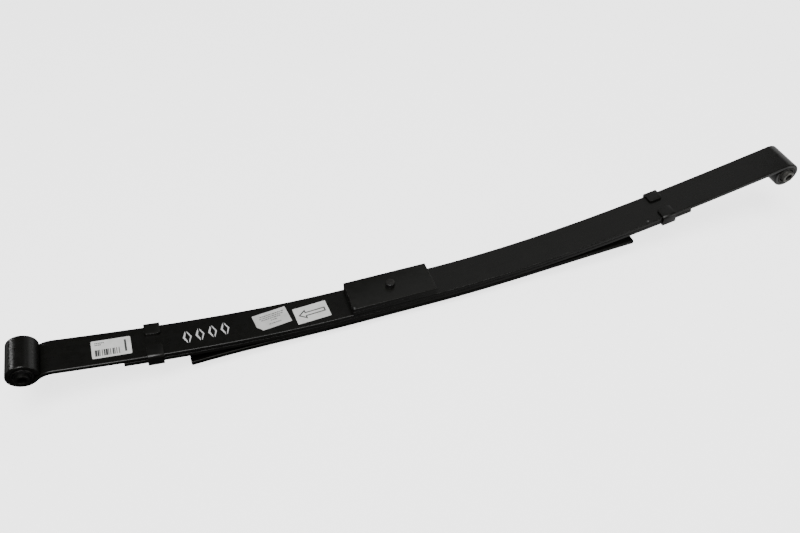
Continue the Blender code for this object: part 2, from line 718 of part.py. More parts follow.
def build():
    clear_scene()
    paint = make_paint()
    steel = make_blackened_steel()
    zinc = make_plated_steel()
    rubber = make_rubber()
    paper = make_label_paper()

    # The two full leaves bend about one pair of hinges and the helper leaf about its own.
    frame = add_empty("leaf_frame", (0.0, -HEAD_TOP))
    pivots = (-pivot_station(FRONT_LENGTH), pivot_station(REAR_LENGTH))
    half_stack = max(MAIN_THICKNESS, SECOND_THICKNESS) + TOUCH_GAP
    seam = MAIN_THICKNESS + TOUCH_GAP / 2
    hinges = [knuckle(at, seam, half_stack, MAIN_SHAPE) for at in pivots]
    arms = (
        add_empty("front_arm_pivot", hinges[0]["centre"], frame),
        add_empty("rear_arm_pivot", hinges[1]["centre"], frame),
    )
    helper_pivots = (-pivot_station(HELPER_FRONT_LENGTH), pivot_station(HELPER_REAR_LENGTH))
    half_helper = HELPER_THICKNESS / 2
    helper_hinges = [knuckle(at, half_helper, half_helper, HELPER_SHAPE) for at in helper_pivots]
    helper_arms = (
        add_empty("helper_front_pivot", helper_hinges[0]["centre"], frame),
        add_empty("helper_rear_pivot", helper_hinges[1]["centre"], frame),
    )

    clips = (-(HALF_SEAT + FRONT_CLIP_STATION), HALF_SEAT + REAR_CLIP_STATION)
    add_main_leaf(frame, arms, hinges, pivots, paint)
    add_second_leaf(frame, arms, hinges, pivots, clips, paint)
    add_helper_leaf(frame, helper_arms, helper_hinges, helper_pivots, paint)
    add_spacers(frame, paint)
    add_centre_bolt(frame, steel)
    add_centre_nut(frame, steel)

    for side, arm, station, eye in (
        ("front", arms[0], clips[0], front_eye_centre()),
        ("rear", arms[1], clips[1], rear_eye_centre()),
    ):
        add_clip(f"{side}_clip", station, arm, paint)
        add_rivet(f"{side}_clip_rivet", station, arm, steel)
        sleeve_joint = add_empty(f"{side}_sleeve_pivot", eye, frame)
        add_bush(side, eye, arm, sleeve_joint, steel, rubber, zinc)

    add_label("barcode_label", BARCODE_LABEL, arms[0], paper)
    add_label("note_label", NOTE_LABEL, arms[0], paper, LABEL_CUT)
    add_label("position_label", POSITION_LABEL, frame, paper)


build()
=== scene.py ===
"""Looks of the leaf spring: leaves, clips, bushes, bolt, labels, paint, floor, light, camera.

Metres, in the part's frame: X from the front eye to the rear one, Y across the leaves and
away from the camera, Z up. The origin is the top of the centre bolt's head. Heights in the
stack are measured from the main leaf's top face at the seat.
"""

from math import acos, asin, cos, pi, radians, sin, sqrt

import bmesh
import bpy
from mathutils import Matrix, Vector


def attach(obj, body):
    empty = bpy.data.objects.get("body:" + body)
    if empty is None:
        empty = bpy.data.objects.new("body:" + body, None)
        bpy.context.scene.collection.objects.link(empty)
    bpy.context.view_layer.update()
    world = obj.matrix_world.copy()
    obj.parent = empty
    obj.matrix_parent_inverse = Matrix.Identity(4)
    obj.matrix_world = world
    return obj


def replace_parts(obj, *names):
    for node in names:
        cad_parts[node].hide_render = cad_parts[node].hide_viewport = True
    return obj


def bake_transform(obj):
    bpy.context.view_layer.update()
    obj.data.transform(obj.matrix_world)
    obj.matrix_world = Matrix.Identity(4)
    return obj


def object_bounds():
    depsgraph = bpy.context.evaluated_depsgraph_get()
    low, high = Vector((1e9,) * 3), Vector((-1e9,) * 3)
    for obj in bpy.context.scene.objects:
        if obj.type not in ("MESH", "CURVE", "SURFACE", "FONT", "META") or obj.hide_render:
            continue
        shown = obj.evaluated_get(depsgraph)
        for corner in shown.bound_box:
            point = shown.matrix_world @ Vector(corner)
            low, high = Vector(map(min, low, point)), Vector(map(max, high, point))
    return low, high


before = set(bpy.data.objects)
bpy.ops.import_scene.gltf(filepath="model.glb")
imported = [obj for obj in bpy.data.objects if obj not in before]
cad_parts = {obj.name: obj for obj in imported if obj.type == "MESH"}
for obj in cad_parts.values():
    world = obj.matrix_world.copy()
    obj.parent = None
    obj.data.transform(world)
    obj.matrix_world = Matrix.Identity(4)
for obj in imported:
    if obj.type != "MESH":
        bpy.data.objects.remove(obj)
cad_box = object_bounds()

# Leaf stock
WIDTH = 0.0635
HALF_W = WIDTH / 2
MAIN_T = 0.0075
SECOND_T = 0.0080
HELPER_T = 0.0085
EDGE_R = 0.0022
TIP_WEAR = 0.0007
GAP = 0.0003
SEAM = 0.00005

# Seat: spacer plates, centre bolt and nut
HALF_SEAT = 0.076
PLATE_T = 0.0074
PLATE_CORNER = 0.0016
PLATE_RIM = 0.0007
LOWER_PLATE = GAP
UPPER_PLATE = LOWER_PLATE + PLATE_T + GAP
SPACER_TOP = UPPER_PLATE + PLATE_T
HEAD_HEIGHT = 0.0095
HEAD_TOP = SPACER_TOP + GAP + HEAD_HEIGHT
HEAD_R = 0.0080
HEAD_ROUND = 0.0014
# Radius of the head's flat top and its fall to the rounding; chamfer below, inwards and upwards
HEAD_CROWN = (0.0058, 0.0001)
HEAD_CHAMFER = (0.0004, 0.0008)
SHANK_R = 0.0055
THREAD_ROOT = 0.0049
THREAD_PITCH = 0.0013
THREAD_FLANK = 0.0006
BOLT_TAIL = 0.003
# (radius, height above the bolt's end)
TAIL_CHAMFER = ((0.0053, 0.0010), (0.0044, 0.0))
NUT_HEIGHT = 0.009
NUT_FLATS = 0.0175
NUT_BORE = 0.0058
NUT_CHAMFER = 0.0007
NUT_SIDES = 48

# Heights in the stack
SECOND_TOP = -MAIN_T - GAP
SECOND_BOTTOM = SECOND_TOP - SECOND_T
HELPER_TOP = SECOND_BOTTOM - GAP
HELPER_BOTTOM = HELPER_TOP - HELPER_T

# Length of each half leaf beyond the seat (a main leaf's to its eye), with its curvature (1/m)
# at the seat and at the far end
FRONT = (0.517, (0.64, 0.08))
REAR = (0.708, (0.62, 0.02))
HELPER_FRONT = (0.277, (0.64, -1.03))
HELPER_REAR = (0.395, (0.62, -0.38))
CURVE_STEPS = 48
RING_PITCH = 0.005

# Top face of a leaf: height at the seat, front half, rear half
MAIN = (0.0, FRONT, REAR)
HELPER = (HELPER_TOP, HELPER_FRONT, HELPER_REAR)

# Places along the main leaf's top face, from the centre bolt
SECOND_FRONT_END = -(HALF_SEAT + 0.374)
SECOND_REAR_END = HALF_SEAT + 0.507
FRONT_CLIP = -(HALF_SEAT + 0.326)
REAR_CLIP = HALF_SEAT + 0.459

# Eyes
EYE_R = 0.024
EYE_MID = EYE_R - MAIN_T / 2
EYE_BORE = EYE_R - MAIN_T
LEAD_R = 0.035
LEAD_STEPS = 10
LIP_GAP = 0.0012

# Clips and rivets
CLIP_T = 0.0035
CLIP_W = 0.025
CLIP_SIDE = 0.0012
CLIP_TOP = 0.0008
CLIP_BEND = 0.0022
CLIP_OPENING = 0.022
CLIP_TIP_ROUND = 0.0045
CLIP_EDGE = 0.0006
RIVET_R = 0.0040
RIVET_HEAD_R = 0.0075
RIVET_FLAT_R = 0.0072
RIVET_HEAD = 0.0040
RIVET_EDGE = 0.0004
RIVET_INSET = 0.0006

# Bushes
SHELL_T = 0.0016
SHELL_CHAMFER = 0.0004
SHELL_ENTRY = 0.0005
SHELL_BORE_CHAMFER = 0.0003
RUBBER_BORE = 0.0113
RUBBER_INSET = 0.0010
RUBBER_DISH = 0.0028
RUBBER_EDGE = 0.0004
# Crest and foot of each lip, from the rubber's outside and from its bore
OUTER_LIP = (0.0003, 0.0007)
BORE_LIP = (0.0002, 0.0005)
LIP_HEIGHT = 0.0002
SLEEVE_BORE = 0.0065
SLEEVE_R = 0.0110
SLEEVE_PROUD = 0.0070
BORE_CHAMFER = 0.0006
SLEEVE_CHAMFER = 0.0007

# Labels, the mark and a grey spot: middle along the leaf, middle across it, turn in degrees
BARCODE = (-0.4655, -0.0015, 1.0)
NOTE = (-0.2100, 0.0010, 9.0)
POSITION = (-0.1420, -0.0035, 4.5)
LOZENGES = (-0.3190, -0.0020, 4.0)
REAR_SPOT = (0.496, -0.0262, 0.0)
# Painted glint on the spacer's near corner: its middle along the part and across it
CORNER_GLINT = (-0.0730, -0.0287)
HALF_LABEL = (0.0295, 0.01775)
LABEL_TOP = 0.0006
LABEL_CUTS = 10
PRINT_LIFT = 0.00003
PAINT_LIFT = 0.00006

# Studio
FLOOR_DROP = 0.0004
FLOOR_REACH = 12.0
FLOOR_GLOW = 2.4
SKY_SEEN = 2.2
SKY_LIGHT = 0.07
LIGHTS = (
    # name, place, aim, size, power
    ("overhead", (-0.5, -0.8, 3.1), (0.1, 0.0, 0.0), (2.0, 2.0), 125),
    ("back_sheen", (0.75, 0.9, 1.35), (0.35, 0.0, 0.0), (1.1, 0.7), 1.1),
    ("left_strip", (-2.5, 1.9, 1.36), (-0.60, 0.0, 0.03), (0.10, 1.5), 9),
    ("back_low", (1.7, 2.2, 0.75), (-0.4, 0.0, 0.0), (2.4, 1.0), 6),
    ("right_low", (2.2, 0.95, 0.75), (0.78, 0.0, 0.05), (1.4, 1.4), 5.5),
    ("right_front", (1.9, -1.7, 0.9), (0.5, 0.0, 0.0), (1.2, 1.0), 13),
)
CAMERA_PLACE = (-0.2725, -0.8082, 0.9606)
CAMERA_AZIMUTH = 0.345
CAMERA_TILT = 0.8238
CAMERA_ROLL = -0.0147
CAMERA_LENS = 33.3765
CAMERA_SENSOR = 36


# Curves of the leaves

def bent_line(distance, length, bend):
    """Run, rise and slope at a distance along a strip whose curvature changes evenly."""
    growth = (bend[1] - bend[0]) / (2 * length)
    step = distance / CURVE_STEPS
    run = rise = 0.0
    for i in range(CURVE_STEPS):
        middle = (i + 0.5) * step
        slope = bend[0] * middle + growth * middle ** 2
        run += cos(slope) * step
        rise += sin(slope) * step
    return run, rise, bend[0] * distance + growth * distance ** 2


def place(station, height, shape):
    """(point, normal, outward) as (x, z) Vectors at a signed length from the centre bolt.

    The height is along the normal, from the shape's own top face.
    """
    side = -1.0 if station < 0 else 1.0
    length, bend = shape[1] if station < 0 else shape[2]
    run, rise, slope = bent_line(max(abs(station) - HALF_SEAT, 0.0), length, bend)
    normal = Vector((-side * sin(slope), cos(slope)))
    outward = Vector((side * cos(slope), sin(slope)))
    point = Vector((side * (min(abs(station), HALF_SEAT) + run), shape[0] + rise))
    return point + normal * height + Vector((0, -HEAD_TOP)), normal, outward


def spans(start, end, height, shape):
    """(point, normal) rings along a leaf from one station to another."""
    steps = max(2, round(abs(end - start) / RING_PITCH))
    return [place(start + (end - start) * i / steps, height, shape)[:2] for i in range(steps + 1)]


def arc(centre, radius, start, end, outward, up, inward, step=radians(5)):
    """(point, normal) rings round a centre; the normals point inward or away from it."""
    steps = max(2, round(abs(end - start) / step))
    rings = []
    for i in range(1, steps + 1):
        angle = start + (end - start) * i / steps
        spoke = outward * cos(angle) + up * sin(angle)
        rings.append((centre + spoke * radius, -spoke if inward else spoke))
    return rings


def front_eye():
    """Where the lead starts, the rings of the lead and the roll, and the eye's centre.

    The eye is centred on the leaf. The strip dips over the lead and passes under the eye,
    then comes back over it and stops just short of its own top face.
    """
    run = sqrt(EYE_MID ** 2 + 2 * LEAD_R * EYE_MID)
    turn = acos(LEAD_R / (LEAD_R + EYE_MID))
    station = -(HALF_SEAT + FRONT[0] - run)
    point, up, outward = place(station, -MAIN_T / 2, MAIN)
    rings = []
    for i in range(1, LEAD_STEPS + 1):
        angle = turn * i / LEAD_STEPS
        spoke = up * cos(angle) + outward * sin(angle)
        rings.append((point - up * LEAD_R + spoke * LEAD_R, spoke))
    rise = sqrt((LEAD_R + MAIN_T / 2) ** 2 - (run - EYE_R) ** 2) - LEAD_R
    lip = asin((rise + LIP_GAP) / EYE_R)
    centre = point + outward * run
    rings += arc(centre, EYE_MID, 3 * pi / 2 - turn, 3 * pi - lip, outward, up, True)
    return station, rings, centre


def rear_eye():
    """Rings of the roll, which hangs under the leaf and stops just short of it, and its centre."""
    point, up, outward = place(HALF_SEAT + REAR[0], -MAIN_T / 2, MAIN)
    lip = asin((EYE_BORE - LIP_GAP) / EYE_R)
    centre = point - up * EYE_MID
    return arc(centre, EYE_MID, pi / 2, -pi - lip, outward, up, False), centre


# Mesh helpers

def finish_object(name, bm, materials, smooth=35):
    bmesh.ops.recalc_face_normals(bm, faces=bm.faces)
    mesh = bpy.data.meshes.new(name)
    bm.to_mesh(mesh)
    bm.free()
    mesh.shade_smooth()
    mesh.set_sharp_from_angle(angle=radians(smooth))
    for material in materials:
        mesh.materials.append(material)
    obj = bpy.data.objects.new(name, mesh)
    bpy.context.scene.collection.objects.link(obj)
    return obj


def corner_circles(half_u, half_v, radius):
    """Each quarter of a rounded rectangle, with the middle of its corner's circle."""
    for quarter in range(4):
        side = 1 if quarter in (0, 3) else -1
        top = 1 if quarter in (0, 1) else -1
        yield quarter, Vector((side * (half_u - radius), top * (half_v - radius)))


def section(half_width, half_height, steps=5, support=0.0006):
    """Rolled stock's section, with a support point beside each corner so the flats shade flat."""
    points = []
    shares = [(0.0, -support)] + [(i / steps, 0.0) for i in range(steps + 1)] + [(1.0, support)]
    for quarter, middle in corner_circles(half_width, half_height, EDGE_R):
        for share, ahead in shares:
            angle = pi / 2 * (quarter + share)
            spoke = Vector((cos(angle), sin(angle)))
            points.append(middle + spoke * EDGE_R + Vector((-spoke.y, spoke.x)) * ahead)
    return points


def leaf(name, rings, thickness, material):
    """Sweeps the rolled section along the rings, with a worn edge round the far end."""
    full = section(HALF_W, thickness / 2)
    worn = section(HALF_W - TIP_WEAR, thickness / 2 - TIP_WEAR)
    tip, tip_normal = rings[-1]
    back = (rings[-2][0] - tip).normalized()
    stations = [(point, normal, full) for point, normal in rings[:-1]]
    stations.append((tip + back * 2 * TIP_WEAR, tip_normal, full))
    stations.append((tip + back * TIP_WEAR, tip_normal, full))
    stations.append((tip, tip_normal, worn))
    bm = bmesh.new()
    loops = [
        [bm.verts.new((point.x + normal.x * up, across, point.y + normal.y * up))
         for across, up in shape]
        for point, normal, shape in stations
    ]
    for near, far in zip(loops, loops[1:]):
        for i in range(len(full)):
            j = (i + 1) % len(full)
            bm.faces.new((near[i], near[j], far[j], far[i]))
    bm.faces.new(loops[0])
    bm.faces.new(loops[-1])
    return finish_object(name, bm, [material], 50)


def turned(name, profile, centre, axis, material, segments=72, smooth=35):
    """Turns a profile of (radius, length) round an axis.

    A profile that starts and ends at radius 0 is closed there. Any other is a ring's outline.
    """
    axis = Vector(axis).normalized()
    other = axis.orthogonal().normalized()
    cross = axis.cross(other)
    bm = bmesh.new()
    loops = []
    for radius, length in profile:
        middle = Vector(centre) + axis * length
        if radius == 0.0:
            loops.append([bm.verts.new(middle)])
            continue
        loops.append([
            bm.verts.new(middle + (other * cos(2 * pi * i / segments)
                                   + cross * sin(2 * pi * i / segments)) * radius)
            for i in range(segments)
        ])
    pairs = list(zip(loops, loops[1:]))
    if len(loops[0]) > 1:
        pairs.append((loops[-1], loops[0]))
    for near, far in pairs:
        for i in range(segments):
            j = (i + 1) % segments
            corners = [near[i % len(near)], near[j % len(near)],
                       far[j % len(far)], far[i % len(far)]]
            bm.faces.new(list(dict.fromkeys(corners)))
    return finish_object(name, bm, [material], smooth)


# Material helpers

# The Mix node's sockets for colours
COLOUR_A, COLOUR_B, COLOUR_RESULT = 6, 7, 2


def shader_of(name):
    material = bpy.data.materials.new(name)
    material.use_nodes = True
    return material, material.node_tree, material.node_tree.nodes["Principled BSDF"]


def grey(tone, blue=1.0, green=1.0):
    return (tone, tone * green, tone * blue, 1)


def coords(tree, scale=(1, 1, 1)):
    texture = tree.nodes.new("ShaderNodeTexCoord")
    mapping = tree.nodes.new("ShaderNodeMapping")
    mapping.inputs["Scale"].default_value = scale
    tree.links.new(texture.outputs["Object"], mapping.inputs["Vector"])
    return mapping.outputs["Vector"]


def noise(tree, scale, detail=3.0, roughness=0.5, stretch=(1, 1, 1)):
    node = tree.nodes.new("ShaderNodeTexNoise")
    node.inputs["Scale"].default_value = scale
    node.inputs["Detail"].default_value = detail
    node.inputs["Roughness"].default_value = roughness
    tree.links.new(coords(tree, stretch), node.inputs["Vector"])
    return node.outputs["Fac"]


def remap(tree, source, low, high, to_low, to_high):
    node = tree.nodes.new("ShaderNodeMapRange")
    for key, value in zip(("From Min", "From Max", "To Min", "To Max"),
                          (low, high, to_low, to_high)):
        node.inputs[key].default_value = value
    tree.links.new(source, node.inputs["Value"])
    return node.outputs["Result"]


def mix_colour(tree, factor, a, b):
    """Colour a where the factor is 0 and b where it is 1; each is a tuple or a socket."""
    node = tree.nodes.new("ShaderNodeMix")
    node.data_type = "RGBA"
    for value, socket in ((a, COLOUR_A), (b, COLOUR_B)):
        if isinstance(value, tuple):
            node.inputs[socket].default_value = value
        else:
            tree.links.new(value, node.inputs[socket])
    tree.links.new(factor, node.inputs[0])
    return node.outputs[COLOUR_RESULT]


def combined(tree, operation, a, b):
    node = tree.nodes.new("ShaderNodeMath")
    node.operation = operation
    tree.links.new(a, node.inputs[0])
    tree.links.new(b, node.inputs[1])
    return node.outputs[0]


def bump(tree, height, strength, distance, normal=None):
    node = tree.nodes.new("ShaderNodeBump")
    node.inputs["Strength"].default_value = strength
    node.inputs["Distance"].default_value = distance
    tree.links.new(height, node.inputs["Height"])
    if normal is not None:
        tree.links.new(normal, node.inputs["Normal"])
    return node.outputs["Normal"]


# Materials

def black_paint(name, tone, rough, grain=1.0, sheen=0.38):
    """Satin black dip paint over rolled stock: faint orange peel, dust and rubbed streaks."""
    material, tree, shader = shader_of(name)
    dust = remap(tree, noise(tree, 38 * grain, 5, 0.6), 0.50, 0.78, 0.0, 1.0)
    streaks = remap(tree, noise(tree, 60, 4, 0.65, (0.25, 3.2, 1.0)), 0.46, 0.74, 0.0, 1.0)
    base = mix_colour(tree, dust, grey(tone, 0.84), (tone * 1.5, tone * 1.48, tone * 1.22, 1))
    colour = mix_colour(tree, streaks, base, (tone * 1.35, tone * 1.35, tone * 1.12, 1))
    tree.links.new(colour, shader.inputs["Base Color"])
    tree.links.new(remap(tree, noise(tree, 90, 4, 0.6), 0.3, 0.7, rough - 0.03, rough + 0.05),
                   shader.inputs["Roughness"])
    shader.inputs["Specular IOR Level"].default_value = sheen
    peel = bump(tree, noise(tree, 850, 2, 0.5), 0.10, 0.00015)
    rolled = bump(tree, noise(tree, 110, 3, 0.5, (0.5, 1.0, 1.0)), 0.12, 0.00045, peel)
    tree.links.new(rolled, shader.inputs["Normal"])
    return material


def metal(name, tone, rough, metallic, stained):
    """Bare or blackened steel with stains and fine marks."""
    material, tree, shader = shader_of(name)
    stain = remap(tree, noise(tree, 240, 5, 0.65), 0.42, 0.66, 0.0, 1.0)
    tree.links.new(mix_colour(tree, stain, (*tone, 1), (*stained, 1)), shader.inputs["Base Color"])
    shader.inputs["Metallic"].default_value = metallic
    tree.links.new(remap(tree, noise(tree, 420, 3), 0.3, 0.7, rough - 0.08, rough + 0.12),
                   shader.inputs["Roughness"])
    marks = noise(tree, 900, 3, 0.6, (1, 1, 0.15))
    tree.links.new(bump(tree, marks, 0.18, 0.0003), shader.inputs["Normal"])
    return material


def rubber_material(name, tone, dusty):
    """Matt rubber with a dusty bloom."""
    material, tree, shader = shader_of(name)
    bloom = remap(tree, noise(tree, 260, 5, 0.6), 0.42, 0.68, 0.0, 1.0)
    tree.links.new(mix_colour(tree, bloom, grey(tone), grey(dusty, 0.90, 0.98)),
                   shader.inputs["Base Color"])
    tree.links.new(remap(tree, noise(tree, 300, 2), 0.3, 0.7, 0.55, 0.8),
                   shader.inputs["Roughness"])
    tree.links.new(bump(tree, noise(tree, 1500, 3, 0.6), 0.25, 0.0003), shader.inputs["Normal"])
    return material


def paper_material(name, tone):
    """Label paper that is a little faded and not quite flat."""
    material, tree, shader = shader_of(name)
    fade = remap(tree, noise(tree, 70, 4, 0.6), 0.35, 0.7, 0.0, 1.0)
    faded = (tone * 0.86, tone * 0.86, tone * 0.83, 1)
    tree.links.new(mix_colour(tree, fade, grey(tone, 0.975), faded), shader.inputs["Base Color"])
    shader.inputs["Roughness"].default_value = 0.5
    shader.inputs["Specular IOR Level"].default_value = 0.3
    tree.links.new(bump(tree, noise(tree, 160, 3), 0.25, 0.0004), shader.inputs["Normal"])
    return material


def ink_material(name, tone, spread):
    """Print or brushed paint that is not quite even."""
    material, tree, shader = shader_of(name)
    patchy = remap(tree, noise(tree, 700, 4, 0.7), 0.35, 0.68, 0.0, 1.0)
    tree.links.new(mix_colour(tree, patchy, grey(tone), grey(spread)), shader.inputs["Base Color"])
    shader.inputs["Roughness"].default_value = 0.5
    tree.links.new(bump(tree, noise(tree, 900, 2), 0.15, 0.0002), shader.inputs["Normal"])
    return material


PAINT = black_paint("leaf_paint", tone=0.0036, rough=0.27)
PAINT_SECOND = black_paint("second_leaf_paint", tone=0.0030, rough=0.32, grain=1.3)
# The helper leaf's paint is darker than the main leaf's: painted shade under the leaves above. It is
# also less glossy.
PAINT_HELPER_PAINTED_SHADE = black_paint("helper_leaf_painted_shade", tone=0.0028, rough=0.36, grain=1.3, sheen=0.16)
PAINT_PLATE = black_paint("spacer_paint", tone=0.0046, rough=0.34, grain=0.8)
PAINT_CLIP = black_paint("clip_paint", tone=0.0040, rough=0.30, grain=1.6)
STEEL = metal("blackened_steel_mat", (0.010, 0.010, 0.010), 0.36, 0.3, (0.024, 0.022, 0.019))
SLEEVE = metal("sleeve_steel", (0.035, 0.035, 0.034), 0.38, 0.9, (0.018, 0.017, 0.015))
RUBBER = rubber_material("bush_rubber_mat", 0.012, 0.036)
# Lighter copies of the rubber, sleeve and shell steel for the rear bush. Their extra lightness is
# painted light on the rear eye; the blooms and stains in them are the materials' own.
RUBBER_PAINTED_LIGHT = rubber_material("rubber_painted_light_mat", 0.020, 0.075)
SLEEVE_PAINTED_LIGHT = metal("sleeve_steel_painted_light", (0.14, 0.14, 0.13), 0.42, 0.7, (0.06, 0.055, 0.048))
SHELL_PAINTED_LIGHT = metal("shell_steel_painted_light", (0.035, 0.035, 0.033), 0.40, 0.4, (0.06, 0.056, 0.048))
PAPER = paper_material("label_paper_mat", 0.76)
GREY_PAPER = paper_material("note_paper_mat", 0.64)
INK = ink_material("label_ink", 0.014, 0.05)
PALE_INK = ink_material("faint_ink", 0.07, 0.14)
# Grey of the painted glint on the spacer's corner and of the small spot on the rear half
SPOT_GREY = ink_material("grey_spot", 0.05, 0.16)
MARK = ink_material("mark_paint", 0.74, 0.44)


# Leaves

def bent(piece):
    """Bakes the piece's placement into its mesh and returns it."""
    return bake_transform(piece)


def half_leaf(name, end, rings, thickness, paint):
    """One leaf from the centre bolt to one end, in place of that half and of the seat."""
    piece = leaf(f"{name}_{end}_half", rings, thickness, paint)
    if name == "helper_leaf":
        bent(piece)
    else:
        bent(piece)
    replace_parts(piece, f"{name}_{end}", f"{name}_seat")


def leaves():
    """The three leaves as six halves; returns the centres of the eyes."""
    eye_station, front_tail, front_centre = front_eye()
    rear_tail, rear_centre = rear_eye()
    middle = -MAIN_T / 2
    half_leaf("main_leaf", "front", spans(-SEAM, eye_station, middle, MAIN) + front_tail,
              MAIN_T, PAINT)
    half_leaf("main_leaf", "rear", spans(SEAM, HALF_SEAT + REAR[0], middle, MAIN) + rear_tail,
              MAIN_T, PAINT)
    middle = SECOND_TOP - SECOND_T / 2
    half_leaf("second_leaf", "front", spans(-SEAM, SECOND_FRONT_END, middle, MAIN),
              SECOND_T, PAINT_SECOND)
    half_leaf("second_leaf", "rear", spans(SEAM, SECOND_REAR_END, middle, MAIN),
              SECOND_T, PAINT_SECOND)
    middle = -HELPER_T / 2
    half_leaf("helper_leaf", "front",
              spans(-SEAM, -(HALF_SEAT + HELPER_FRONT[0]), middle, HELPER),
              HELPER_T, PAINT_HELPER_PAINTED_SHADE)
    half_leaf("helper_leaf", "rear", spans(SEAM, HALF_SEAT + HELPER_REAR[0], middle, HELPER),
              HELPER_T, PAINT_HELPER_PAINTED_SHADE)
    return front_centre, rear_centre


# Spacer plates, centre bolt and nut

def plate(name, node, low):
    """A spacer plate from a height above the main leaf, with eased corners and rims."""
    bm = bmesh.new()
    bmesh.ops.create_cube(bm, size=1.0)
    bmesh.ops.scale(bm, verts=bm.verts, vec=(2 * HALF_SEAT, WIDTH, PLATE_T))
    upright = [e for e in bm.edges if abs(e.verts[0].co.z - e.verts[1].co.z) > PLATE_T / 2]
    bmesh.ops.bevel(bm, geom=upright, offset=PLATE_CORNER, segments=3, affect="EDGES", profile=0.5)
    rims = [e for e in bm.edges if abs(e.verts[0].co.z - e.verts[1].co.z) < PLATE_T / 2]
    bmesh.ops.bevel(bm, geom=rims, offset=PLATE_RIM, segments=3, affect="EDGES", profile=0.5)
    bmesh.ops.translate(bm, verts=bm.verts, vec=(0, 0, low + PLATE_T / 2 - HEAD_TOP))
    piece = finish_object(name, bm, [PAINT_PLATE], 30)
    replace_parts(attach(piece, "seat_pack"), node)


def bolt():
    """Round-headed bolt; the stretch below the helper leaf is threaded."""
    tail = HELPER_BOTTOM - GAP - NUT_HEIGHT - BOLT_TAIL - HEAD_TOP
    crown_radius, crown_fall = HEAD_CROWN
    chamfer_in, chamfer_up = HEAD_CHAMFER
    inner = HEAD_R - HEAD_ROUND
    profile = [(0.0, 0.0), (crown_radius, 0.0), (inner, -crown_fall)]
    for i in range(1, 6):
        angle = pi / 2 * (1 - i / 5)
        profile.append((inner + HEAD_ROUND * cos(angle), HEAD_ROUND * (sin(angle) - 1) - crown_fall))
    profile += [(HEAD_R, chamfer_up - HEAD_HEIGHT), (HEAD_R - chamfer_in, -HEAD_HEIGHT),
                (SHANK_R, -HEAD_HEIGHT)]
    z = HELPER_BOTTOM - HEAD_TOP
    profile.append((SHANK_R, z))
    while z - THREAD_PITCH > tail + 2 * THREAD_FLANK:
        profile += [(THREAD_ROOT, z - THREAD_FLANK), (SHANK_R, z - 2 * THREAD_FLANK)]
        z -= THREAD_PITCH
    profile += [(radius, tail + rise) for radius, rise in TAIL_CHAMFER]
    profile.append((0.0, tail))
    piece = turned("centre_bolt_visual", profile, (0, 0, 0), (0, 0, 1), STEEL, 48)
    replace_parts(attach(piece, "seat_pack"), "centre_bolt")


def nut():
    """Hexagonal nut, its corners cut back at both faces."""
    top = HELPER_BOTTOM - GAP - HEAD_TOP
    low = top - NUT_HEIGHT
    flat = NUT_FLATS / 2
    angles = [2 * pi * i / NUT_SIDES for i in range(NUT_SIDES)]
    bm = bmesh.new()
    rows = []
    for z, cut_back in ((top, True), (top - NUT_CHAMFER, False), (low + NUT_CHAMFER, False),
                        (low, True)):
        row = []
        for angle in angles:
            reach = flat / cos((angle + pi / 6) % (pi / 3) - pi / 6)
            if cut_back:
                reach = min(reach, flat * 0.99)
            row.append(bm.verts.new((reach * cos(angle + pi / 6), reach * sin(angle + pi / 6), z)))
        rows.append(row)
    bores = [
        [bm.verts.new((NUT_BORE * cos(angle + pi / 6), NUT_BORE * sin(angle + pi / 6), z))
         for angle in angles]
        for z in (top, low)
    ]
    rings = [bores[0]] + rows + [bores[1]]
    for near, far in zip(rings, rings[1:] + rings[:1]):
        for i in range(NUT_SIDES):
            j = (i + 1) % NUT_SIDES
            bm.faces.new((near[i], near[j], far[j], far[i]))
    piece = finish_object("centre_nut_visual", bm, [STEEL], 28)
    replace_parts(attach(piece, "seat_pack"), "centre_nut")


# Clips and rivets

def clip_outline():
    """(across, height) of the bent strip: round the leaves inside, and back outside."""
    inner = HALF_W + CLIP_SIDE
    bottom = SECOND_BOTTOM - GAP
    tip = CLIP_OPENING / 2
    bends = ((1, CLIP_TOP, pi / 2), (1, bottom, 0.0), (-1, bottom, -pi / 2), (-1, CLIP_TOP, -pi))
    points = []
    for grown, order in ((0.0, 1), (CLIP_T, -1)):
        radius = CLIP_BEND + grown
        run = [(tip, CLIP_TOP + grown)]
        for side, level, start in bends:
            across = side * (inner - CLIP_BEND)
            up = level - CLIP_BEND if level == CLIP_TOP else level + CLIP_BEND
            for i in range(9):
                angle = start - pi / 2 * i / 8
                run.append((across + radius * cos(angle), up + radius * sin(angle)))
        run.append((-tip, CLIP_TOP + grown))
        points += run[::order]
    return points


def clip(name, node, station, body):
    """The outline drawn out along the leaf, with rounded tips and eased edges."""
    point, up, outward = place(station, 0.0, MAIN)
    along = Vector((outward.x, 0, outward.y))
    above = Vector((up.x, 0, up.y))
    middle = Vector((point.x, 0, point.y))
    bm = bmesh.new()
    face = bm.faces.new([
        bm.verts.new(middle + above * z + Vector((0, y, 0)) - along * CLIP_W / 2)
        for y, z in clip_outline()
    ])
    grown = bmesh.ops.extrude_face_region(bm, geom=[face])
    moved = [item for item in grown["geom"] if isinstance(item, bmesh.types.BMVert)]
    bmesh.ops.translate(bm, verts=moved, vec=along * CLIP_W)
    tips = [
        e for e in bm.edges
        if all(abs(abs(v.co.y) - CLIP_OPENING / 2) < 1e-6 for v in e.verts)
        and abs((e.verts[0].co - e.verts[1].co).normalized().dot(above)) > 0.9
    ]
    bmesh.ops.bevel(bm, geom=tips, offset=CLIP_TIP_ROUND, segments=8, affect="EDGES", profile=0.5)
    bmesh.ops.recalc_face_normals(bm, faces=bm.faces)
    sharp = [e for e in bm.edges if len(e.link_faces) == 2 and e.calc_face_angle() > radians(60)]
    bmesh.ops.bevel(bm, geom=sharp, offset=CLIP_EDGE, segments=2, affect="EDGES", profile=0.5)
    piece = finish_object(name, bm, [PAINT_CLIP], 40)
    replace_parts(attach(piece, body), node)


